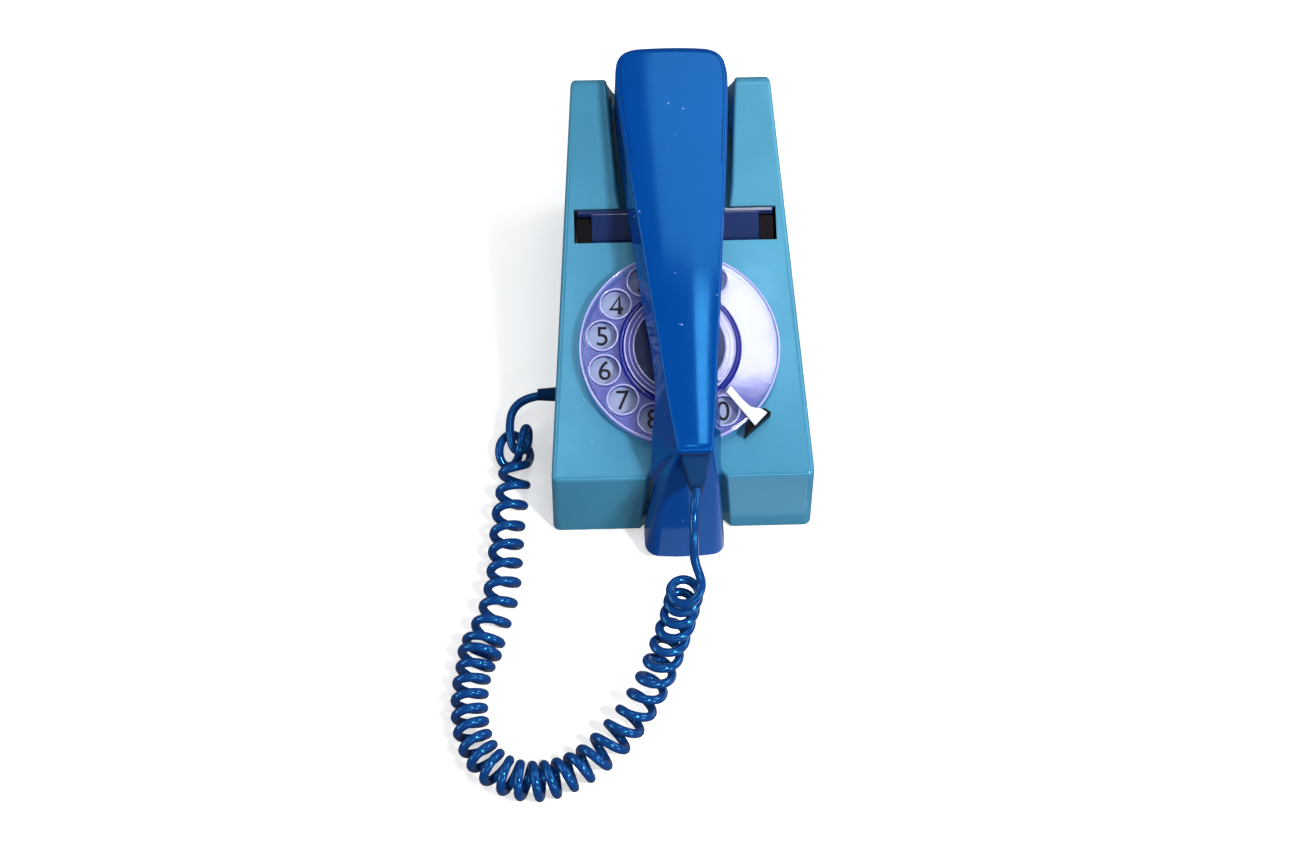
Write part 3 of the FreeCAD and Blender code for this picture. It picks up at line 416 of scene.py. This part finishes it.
def seam_gap(y, z):
    # above the seam line: positive
    ys = [p[0] for p in SEAM][::-1]
    zs = [p[1] for p in SEAM][::-1]
    best = None
    for (y0, z0), (y1, z1) in zip(SEAM[:-1], SEAM[1:]):
        d = Vector((y1 - y0, z1 - z0))
        w = Vector((y - y0, z - z0))
        t = max(0.0, min(1.0, w.dot(d) / d.length_squared))
        q = w - d * t
        dist = q.length
        if best is None or dist < best[0]:
            best = (dist, 1.0 if d.cross(w) < 0 else -1.0)
    return best[0] * best[1]


N_TOP, N_ARC, N_SIDE, N_BOT = 21, 9, 13, 15
CROWN = 0.032
FOLD = 27.0                 # how far down the horn the fold under the handle ends
SKIRT = {1: 0.5, -1: 2.0}   # how far the handle's right and left sides stand out over the horn
FLARE = {1: -0.7, -1: 1.3}  # and how far the whole lower side leans out along the handle


FOOT = {1: 0.1, -1: 1.3}    # and how far the horn's foot stands out


def ease(t):
    t = max(0.0, min(1.0, t))
    return t * t * (3 - 2 * t)


def stand_out(t, along, side):
    # the handle's sides widen to the tip and end in a slanting fold; the horn comes out under it
    if along < 0:
        return t * (SKIRT[side] * ease(1 + along / 40.0) + FLARE[side] * ease((along + 135.0) / 55.0))
    return t * (SKIRT[side] * ease((t - along / FOLD + 0.07) / 0.14) + FLARE[side] * ease(1 - along / 45.0)) + FOOT[side] * ease(along / 62.0)


def half_paths(row):
    """upper path from the right seam over the top to the left seam, and lower path from the right seam under to the left seam, as (x, y, z) lists"""
    oy, oz, iy, iz, ho, hi, ro, ri, along = row
    o, i = np.array([oy, oz]), np.array([iy, iz])
    d = o - i
    hgt = np.linalg.norm(d)
    d = d / hgt
    # section plane: x across, w along d from the inner edge
    corner_o, corner_i = np.array([ho, hgt]), np.array([hi, 0.0])
    side = corner_i - corner_o
    side_l = np.linalg.norm(side)
    side = side / side_l

    def arc(c, da, db, r):
        ang = math.acos(max(-1, min(1, float(np.dot(da, db)))))
        t = r / math.tan(ang / 2)
        bis = (da + db) / np.linalg.norm(da + db)
        cen = c + bis * (r / math.sin(ang / 2))
        p0, p1 = c + da * t, c + db * t
        a0 = math.atan2(*(p0 - cen)[::-1])
        a1 = math.atan2(*(p1 - cen)[::-1])
        while a1 - a0 > math.pi:
            a1 -= 2 * math.pi
        while a1 - a0 < -math.pi:
            a1 += 2 * math.pi
        return [cen + r * np.array([math.cos(a), math.sin(a)]) for a in np.linspace(a0, a1, N_ARC)]

    top_arc = arc(corner_o, np.array([-1.0, 0.0]), side, ro)      # top face -> side
    bot_arc = arc(corner_i, -side, np.array([-1.0, 0.0]), ri)     # side -> bottom face
    a, b = top_arc[-1], bot_arc[0]

    def yz(w):
        return i + d * w

    lo, hi_t = 0.02, 0.98
    f = lambda t: seam_gap(*yz((a + (b - a) * t)[1]))
    if f(lo) <= 0:
        ts = lo
    elif f(hi_t) >= 0:
        ts = hi_t
    else:
        x0, x1 = lo, hi_t
        for _ in range(40):
            xm = 0.5 * (x0 + x1)
            if f(xm) > 0:
                x0 = xm
            else:
                x1 = xm
        ts = 0.5 * (x0 + x1)
    sp = a + (b - a) * ts
    run = np.linalg.norm(b - a)
    g = 0.03 / run

    halves = {}
    for side in (1, -1):
        def wall(t):
            return a + (b - a) * t + np.array([stand_out(t, along, side), 0.0])

        full = stand_out(1.0, along, side)
        # seam -> arc -> top
        up = [wall(t) for t in np.linspace(ts - g, 0.0, N_SIDE)[:-1]] + [p + np.array([stand_out(0.0, along, side), 0.0]) for p in top_arc[::-1]]
        flat = up[-1][0]
        up += [np.array([x, hgt + CROWN * ho * (1 - (x / flat) ** 2)]) for x in np.linspace(flat, 0.0, N_TOP // 2 + 1)[1:]]
        # seam -> arc -> under face
        low = [wall(t) for t in np.linspace(ts + g, 1.0, N_SIDE)[:-1]] + [p + np.array([full, 0.0]) for p in bot_arc]
        flatb = low[-1][0]
        low += [np.array([x, 0.0]) for x in np.linspace(flatb, 0.0, N_BOT // 2 + 1)[1:]]
        halves[side] = (up, low)
    res = []
    for k in (0, 1):
        ring = halves[1][k] + [np.array([-p[0], p[1]]) for p in halves[-1][k][::-1][1:]]
        res.append([np.array([p[0], *yz(p[1])]) for p in ring])
    return res


def shell(name, which, rows, thick, mat):
    grids = np.array([half_paths(r)[which] for r in rows])       # station, point, xyz
    # rounded end at the ear: rows that close on the seam line across the end face
    endp = grids[0]
    c = len(endp)
    chord_z = endp[0][2]
    t = np.linspace(-1, 1, c)
    chord = np.stack([np.linspace(endp[0][0], endp[-1][0], c), np.full(c, endp[:, 1].mean() + 0.9), np.full(c, chord_z)], 1)
    extra = []
    for k, q in enumerate((0.06, 0.14, 0.26, 0.42, 0.62, 0.82, 1.0)):
        p = endp * (1 - q) + chord * q
        swell = math.sin(min(1.0, q / 0.42) * math.pi / 2)
        p[:, 1] = endp[:, 1] * (1 - q) + (endp[:, 1].mean() + 0.9) * q + 0.55 * swell
        extra.append(p)
    grid = np.concatenate([np.array(extra[::-1]), grids])
    nr = len(grid)
    # inward normals from the grid itself
    du = np.gradient(grid, axis=0)
    dv = np.gradient(grid, axis=1)
    nn = np.cross(du, dv)
    nn /= np.linalg.norm(nn, axis=2)[:, :, None] + 1e-12
    centre = np.array([[0.0, g[:, 1].mean(), g[:, 2].mean()] for g in grid])
    if np.sum(nn * (grid - centre[:, None, :])) > 0:
        nn = -nn
    inner = grid + nn * thick
    verts = [lay(v) for v in grid.reshape(-1, 3)] + [lay(v) for v in inner.reshape(-1, 3)]
    verts = [P(*v) for v in verts]
    faces = []
    off = nr * c
    for r in range(nr - 1):
        for k in range(c - 1):
            q = (r * c + k, r * c + k + 1, (r + 1) * c + k + 1, (r + 1) * c + k)
            faces.append(q)
            faces.append(tuple(off + i for i in q[::-1]))
    rim = [r * c for r in range(nr)]
    for r in range(nr - 1):
        for k in (0, c - 1):
            i0, i1 = r * c + k, (r + 1) * c + k
            faces.append((i0, i1, off + i1, off + i0) if k == 0 else (i1, i0, off + i0, off + i1))
    for k in range(c - 1):
        i0, i1 = (nr - 1) * c + k, (nr - 1) * c + k + 1
        faces.append((i0, i1, off + i1, off + i0))
        j0, j1 = k, k + 1
        faces.append((j1, j0, off + j0, off + j1))
    o = mesh_obj(name, verts, faces, mat)
    bm = bmesh.new()
    bm.from_mesh(o.data)
    bmesh.ops.remove_doubles(bm, verts=bm.verts, dist=1e-7)
    bmesh.ops.recalc_face_normals(bm, faces=bm.faces)
    bm.to_mesh(o.data)
    bm.free()
    o.data.set_sharp_from_angle(angle=math.radians(38))
    return o


rows = section_table()
upper = shell("handset_top_cover", 0, rows, 1.1, "handset_blue")
lower = shell("handset_under_cover", 1, rows, 1.8, "handset_blue")


def rim_line(name, inset, radius, mat):
    # moulded line that follows the outline of the top face round the ear end; its dark navy is painted shade along
    # the lip's step
    ear = [r for r in rows if r[0] > 118.0][::-1]
    plan = np.array([(-r[4], r[0]) for r in ear] + [(r[4], r[0]) for r in ear[::-1]])
    tan = np.gradient(plan, axis=0)
    tan /= np.linalg.norm(tan, axis=1)[:, None]
    nor = np.stack([tan[:, 1], -tan[:, 0]], 1)
    path = plan + inset * nor
    pts = []
    for x, y in path:
        ho = float(np.interp(y, [r[0] for r in ear], [r[4] for r in ear]))
        zt = float(np.interp(y, [r[0] for r in ear], [r[1] for r in ear]))
        pts.append(P(*lay((x, y, zt + CROWN * ho * max(0.0, 1 - (x / max(ho - 1.2, 1.0)) ** 2) - 0.03))))
    keep = [pts[0]]
    for q in pts[1:]:
        if (q - keep[-1]).length > 0.0004:
            keep.append(q)
    o = tube_mesh(name, [tuple(q) for q in keep], radius * MM, 8, mat)
    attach(o, "handset")
    return o


# raised bead round the ear end, painted darker than the handset as painted shade
rim_line("handset_rim_line", 2.0, 0.17, "navy_painted_shade")
# dark joint between the handset's tip and the boot below it
joint = tube_mesh("boot_joint_line", [tuple(P(*lay((x, -7.62 + 0.004 * x * x, 69.05)))) for x in np.linspace(-6.3, 6.3, 15)], 0.42 * MM, 10, "ink")
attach(joint, "handset")


def cut(obj, cutters):
    for c in cutters:
        m = obj.modifiers.new("cut", "BOOLEAN")
        m.operation = "DIFFERENCE"
        m.solver = "EXACT"
        m.object = c
    bpy.context.view_layer.update()
    dg = bpy.context.evaluated_depsgraph_get()
    me = bpy.data.meshes.new_from_object(obj.evaluated_get(dg))
    old = obj.data
    obj.modifiers.clear()
    obj.data = me
    bpy.data.meshes.remove(old)
    for c in cutters:
        cm = c.data
        bpy.data.objects.remove(c)
        bpy.data.meshes.remove(cm)


def drill(x, y, z0, z1, r, seg=64):
    # upright cylinder in the handset's own drawing
    vs = [lay((x + r * math.cos(2 * math.pi * k / seg), y + r * math.sin(2 * math.pi * k / seg), z)) for z in (z0, z1) for k in range(seg)]
    fs = [tuple(range(seg - 1, -1, -1)), tuple(range(seg, 2 * seg))] + [(k, (k + 1) % seg, seg + (k + 1) % seg, seg + k) for k in range(seg)]
    me = bpy.data.meshes.new("drill")
    me.from_pydata([tuple(P(*v)) for v in vs], [], fs)
    me.update()
    o = bpy.data.objects.new("drill", me)
    bpy.context.scene.collection.objects.link(o)
    return o


cut(lower, [drill(0, 150.0, 60.0, 75.5, 18.25, 96), drill(0, 125.7, 58.0, 72.2, 2.9, 40), drill(0, 33.2, 52.0, 66.2, 2.9, 40)])
lower.data.set_sharp_from_angle(angle=math.radians(38))
for o, n in ((upper, "handset_upper_shell"), (lower, "handset_lower_shell")):
    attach(o, "handset")
    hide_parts(n)

# -------------------------------------------------------------- digits on the plate
SLOPE = math.radians(16.0)
DIAL = Vector((0.0, -25.81598, 52.69147)) * MM
FX, FY, FN = Vector((1, 0, 0)), Vector((0, math.cos(SLOPE), math.sin(SLOPE))), Vector((0, -math.sin(SLOPE), math.cos(SLOPE)))


def on_dial(x, y, h):
    return DIAL + (FX * x + FY * y + FN * h) * MM


digits_bm = bmesh.new()
for k in range(10):
    a = math.radians(63.5 + 26.5 * k)
    cu = bpy.data.curves.new("digit", "FONT")
    cu.body = str((k + 1) % 10)
    cu.size = 11.6 * MM
    cu.align_x = "CENTER"
    cu.align_y = "CENTER"
    cu.extrude = 0.03 * MM
    cu.offset = 0.03 * MM
    cu.resolution_u = 6
    ob = bpy.data.objects.new("digit", cu)
    bpy.context.scene.collection.objects.link(ob)
    if k == 3:
        # drawn as one open stroke, so that its counter stays open
        bpy.data.objects.remove(ob)
        bpy.data.curves.remove(cu)
        cu = bpy.data.curves.new("digit", "CURVE")
        cu.dimensions = "3D"
        cu.bevel_depth = 0.84 * MM
        cu.bevel_resolution = 2
        cu.use_fill_caps = True
        sp = cu.splines.new("POLY")
        sp.points.add(3)
        for q, (x, y) in zip(sp.points, ((1.15, -3.7), (1.15, 3.7), (-2.55, -1.5), (2.55, -1.5))):
            q.co = (x * MM, y * MM, 0.0, 1.0)
        ob = bpy.data.objects.new("digit", cu)
        bpy.context.scene.collection.objects.link(ob)
    bpy.context.view_layer.update()
    me = bpy.data.meshes.new_from_object(ob)
    if k == 3:
        for v in me.vertices:
            v.co.z *= 0.07
    xs = [v.co.x for v in me.vertices]
    ys = [v.co.y for v in me.vertices]
    cx, cy = (min(xs) + max(xs)) / 2, (min(ys) + max(ys)) / 2
    c = on_dial(32.0 * math.cos(a), 32.0 * math.sin(a) + 1.15, 1.3 + 0.04)
    for v in me.vertices:
        v.co = c + FX * (v.co.x - cx) + FY * (v.co.y - cy) + FN * v.co.z
    digits_bm.from_mesh(me)
    bpy.data.meshes.remove(me)
    bpy.data.objects.remove(ob)
    bpy.data.curves.remove(cu)
me = bpy.data.meshes.new("dial_digits")
digits_bm.to_mesh(me)
digits_bm.free()
digits = bpy.data.objects.new("dial_digits", me)
bpy.context.scene.collection.objects.link(digits)
paint(digits, "ink")
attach(digits, "base")

# ------------------------------------------------- moulded edges of the finger wheel; the pale rims carry a painted highlight
def ring_mesh(name, rings, mat, body, seg=72, sides=8, flat=1.0):
    # rounded rims lying on the dial: (x, y, h, radius, thickness)
    verts, faces = [], []
    for x, y, h, r, t in rings:
        base = len(verts)
        for k in range(seg):
            a = 2 * math.pi * k / seg
            for i in range(sides):
                c = 2 * math.pi * i / sides
                rr = r + t * math.cos(c)
                verts.append(on_dial(x + rr * math.cos(a), y + rr * math.sin(a), h + flat * t * math.sin(c)))
        for k in range(seg):
            for i in range(sides):
                k2, i2 = (k + 1) % seg, (i + 1) % sides
                faces.append((base + k * sides + i, base + k2 * sides + i, base + k2 * sides + i2, base + k * sides + i2))
    o = mesh_obj(name, verts, faces, mat)
    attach(o, body)
    return o


holes = [(32.0 * math.cos(math.radians(63.5 + 26.5 * k)), 32.0 * math.sin(math.radians(63.5 + 26.5 * k))) for k in range(10)]
# pale rim material on the holes, the wheel's edge and the centre: painted highlight along these edges
ring_mesh("finger_hole_rims", [(x, y, 6.25, 6.35, 0.38) for x, y in holes], "clear_edge_painted_highlight", "dial")
ring_mesh("finger_hole_feet", [(x, y, 3.55, 6.30, 0.22) for x, y in holes], "clear_deep", "dial")
ring_mesh("finger_wheel_rim", [(0, 0, 6.15, 40.5, 0.42), (0, 0, 3.75, 40.5, 0.36)], "clear_edge_painted_highlight", "dial", 160)
ring_mesh("dial_centre_rim", [(0, 0, 7.75, 22.5, 0.35), (0, 0, 7.8, 18.8, 0.35), (0, 0, 7.85, 20.6, 0.2)], "clear_edge_painted_highlight", "dial", 128)
ring_mesh("dial_centre_foot", [(0, 0, 6.3, 24.0, 1.35)], "clear_deep", "dial", 128, 12, 0.35)

# ------------------------------------------- rear corners of the channel beside the ear
def channel_corner(name, side, drop, fall, clear):
    # rounded web between the horn's inner wall and the ear end, in plan rows from front to rear
    ys = np.concatenate([np.linspace(146.0, 160.0, 8), np.linspace(161.0, 169.0, 13)])
    ear = [r for r in rows if r[0] > 118.0][::-1]
    verts, faces = [], []
    for y in ys:
        wall = 23.2 + (27.2 - 23.2) * (y - 109.5) / (171.1 - 109.5)
        half = float(np.interp(y, [r[0] for r in ear], [r[4] for r in ear]))
        x_in = half + clear + (1.1 if side < 0 else 0.0)
        x_in = x_in + (wall - x_in) * ease((152.0 - y) / 6.0)
        x_in = min(x_in, wall - 0.02)
        top = 38.0 + y * math.tan(math.radians(16.0)) - drop - 2.5 * ease((y - 165.5) / 3.5)
        low = max(67.0, top - fall * min(1.0, (wall - x_in) / 3.0))
        ring = [(wall + 0.6, 65.5), (wall + 0.6, top)] + [(wall + (x_in - wall) * t, top + (low - top) * t ** 0.8) for t in (0.04, 0.2, 0.4, 0.7, 1.0)] + [(x_in, 65.5)]
        verts += [P(side * x, y, z) for x, z in ring]
    n = 8
    for i in range(len(ys) - 1):
        for k in range(n):
            q = (i * n + k, i * n + (k + 1) % n, (i + 1) * n + (k + 1) % n, (i + 1) * n + k)
            faces.append(q)
    faces += [tuple(range(n)), tuple((len(ys) - 1) * n + k for k in range(n))]
    o = mesh_obj(name, verts, faces, "case_blue")
    bm = bmesh.new()
    bm.from_mesh(o.data)
    bmesh.ops.recalc_face_normals(bm, faces=bm.faces)
    bm.to_mesh(o.data)
    bm.free()
    o.data.set_sharp_from_angle(angle=math.radians(35))
    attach(o, "base")
    return o


channel_corner("channel_corner_right", 1, 1.2, 8.0, 0.8)
channel_corner("channel_corner_left", -1, 1.6, 9.0, 0.5)

# ---------------------------------------------------------------- edges of CAD nodes
round_edges("cradle_bar", 0.45 * MM, 3)
round_edges("finger_stop", 0.25 * MM, 3)
round_edges("finger_stop_post", 0.3 * MM, 2)
round_edges("cradle_levers", 0.3 * MM, 2)
round_edges("handset_cord_boot", 0.7 * MM, 3)

# ------------------------------------------------------------------ floor and light
me = bpy.data.meshes.new("floor")
me.from_pydata([(-6, -6, 0), (6, -6, 0), (6, 6, 0), (-6, 6, 0)], [], [(0, 1, 2, 3)])
floor = bpy.data.objects.new("floor", me)
bpy.context.scene.collection.objects.link(floor)
fm, nt, b, out = new_mat("floor_white")
b.inputs["Base Color"].default_value = (0.70, 0.70, 0.70, 1)
b.inputs["Roughness"].default_value = 0.9
b.inputs["Specular IOR Level"].default_value = 0.1
b.inputs["Emission Color"].default_value = (1, 1, 1, 1)
b.inputs["Emission Strength"].default_value = 0.46
floor.data.materials.append(fm)
floor.visible_diffuse = False
floor.visible_glossy = False

world = bpy.data.worlds.new("studio")
bpy.context.scene.world = world
world.use_nodes = True
wt = world.node_tree
bg = wt.nodes["Background"]
tc = wt.nodes.new("ShaderNodeTexCoord")
sep = wt.nodes.new("ShaderNodeSeparateXYZ")
wt.links.new(tc.outputs["Generated"], sep.inputs[0])
wt.links.new(ramp(wt, sep.outputs[2], [(0.0, 0.17), (0.12, 0.27), (1.0, 0.25)]), bg.inputs[0])
bg.inputs[1].default_value = 1.0


def softbox(name, pos, target, sx, sy, power, color=(1, 1, 1)):
    ld = bpy.data.lights.new(name, "AREA")
    ld.shape = "RECTANGLE"
    ld.size, ld.size_y = sx, sy
    ld.energy = power
    ld.color = color
    o = bpy.data.objects.new(name, ld)
    bpy.context.scene.collection.objects.link(o)
    d = Vector(target) - Vector(pos)
    o.rotation_euler = d.to_track_quat("-Z", "Y").to_euler()
    o.location = pos
    o.visible_camera = False
    return o


def flat_box(name, x0, x1, y0, y1, z, radiance):
    # panel hung level over the table
    o = softbox(name, ((x0 + x1) / 2, (y0 + y1) / 2, z), ((x0 + x1) / 2, (y0 + y1) / 2, 0), x1 - x0, y1 - y0, radiance * math.pi * (x1 - x0) * (y1 - y0))
    o.rotation_euler = (0, 0, 0)
    return o


# main light from the front right, then long boxes left, right and in front that draw the edges
softbox("key", (0.67, -0.78, 1.27), (0.0, 0.0, 0.04), 0.20, 0.20, 23.0)
softbox("left_box", (-1.30, 0.20, 0.95), (0.0, 0.0, 0.04), 0.6, 0.45, 5.0)
softbox("right_box", (1.35, 0.30, 0.82), (0.0, 0.0, 0.04), 1.0, 0.50, 10.0)
softbox("front_box", (0.25, -1.45, 0.80), (0.0, 0.0, 0.04), 0.7, 0.24, 4.5)
softbox("left_low", (-1.30, -0.35, 0.36), (0.0, 0.0, 0.05), 0.6, 0.4, 5.5)
softbox("right_low", (0.90, -0.95, 0.32), (0.0, -0.05, 0.04), 0.3, 0.3, 5.0)
# level panels that the slanting faces mirror
flat_box("dial_glow", 0.060, 0.116, -0.030, 0.075, 1.05, 17.0)
flat_box("right_glow", 0.118, 0.160, -0.150, 0.100, 1.05, 4.3)
flat_box("band_glow", 0.168, 0.240, 0.125, 0.288, 1.05, 12.0)
flat_box("left_glow", -0.120, -0.050, -0.150, 0.130, 1.05, 8.0)
flat_box("back_glow", 0.040, 0.380, 0.300, 0.640, 1.05, 3.6)
# light thrown back by the table in front of the mouth end
for name, x0, x1, y0, y1 in (("table_card_right", 0.006, 0.060, -0.170, -0.086), ("table_card_left", -0.012, 0.006, -0.119, -0.092)):
    card = flat_box(name, x0, x1, y0, y1, 0.0008, 0.85)
    card.rotation_euler = (math.pi, 0, 0)
# narrow soft light on the right horn
ld = bpy.data.lights.new("horn_spot", "SPOT")
ld.energy = 44.0
ld.color = (1.0, 0.60, 0.40)
ld.spot_size = math.radians(6.4)
ld.spot_blend = 0.8
ld.shadow_soft_size = 0.02
spot = bpy.data.objects.new("horn_spot", ld)
bpy.context.scene.collection.objects.link(spot)
spot.location = (0.42, -0.80, 0.72)
spot.rotation_euler = (Vector((0.044, 0.060, 0.078)) - spot.location).to_track_quat("-Z", "Y").to_euler()
spot.visible_camera = False

# ---------------------------------------------------------------------- the camera
cam = bpy.data.cameras.new("camera")
cam.sensor_fit = "HORIZONTAL"
cam.sensor_width = 36.0
cam.lens = 2530.704 / 1300.0 * 36.0
cam.clip_start = 0.05
camera = bpy.data.objects.new("camera", cam)
bpy.context.scene.collection.objects.link(camera)
right, upv, fwd = Vector((0.99951661, -0.03056635, 0.00567819)), Vector((0.02296729, 0.84907142, 0.52777858)), Vector((0.02095345, 0.52739305, -0.84936301))
camera.matrix_world = Matrix((
    (right.x, upv.x, -fwd.x, -0.034419),
    (right.y, upv.y, -fwd.y, (-520.132 + OFF_Y) * MM),
    (right.z, upv.z, -fwd.z, 0.916659),
    (0, 0, 0, 1)))
bpy.context.scene.camera = camera
bpy.context.scene.view_settings.view_transform = "Standard"
bpy.context.scene.view_settings.look = "None"
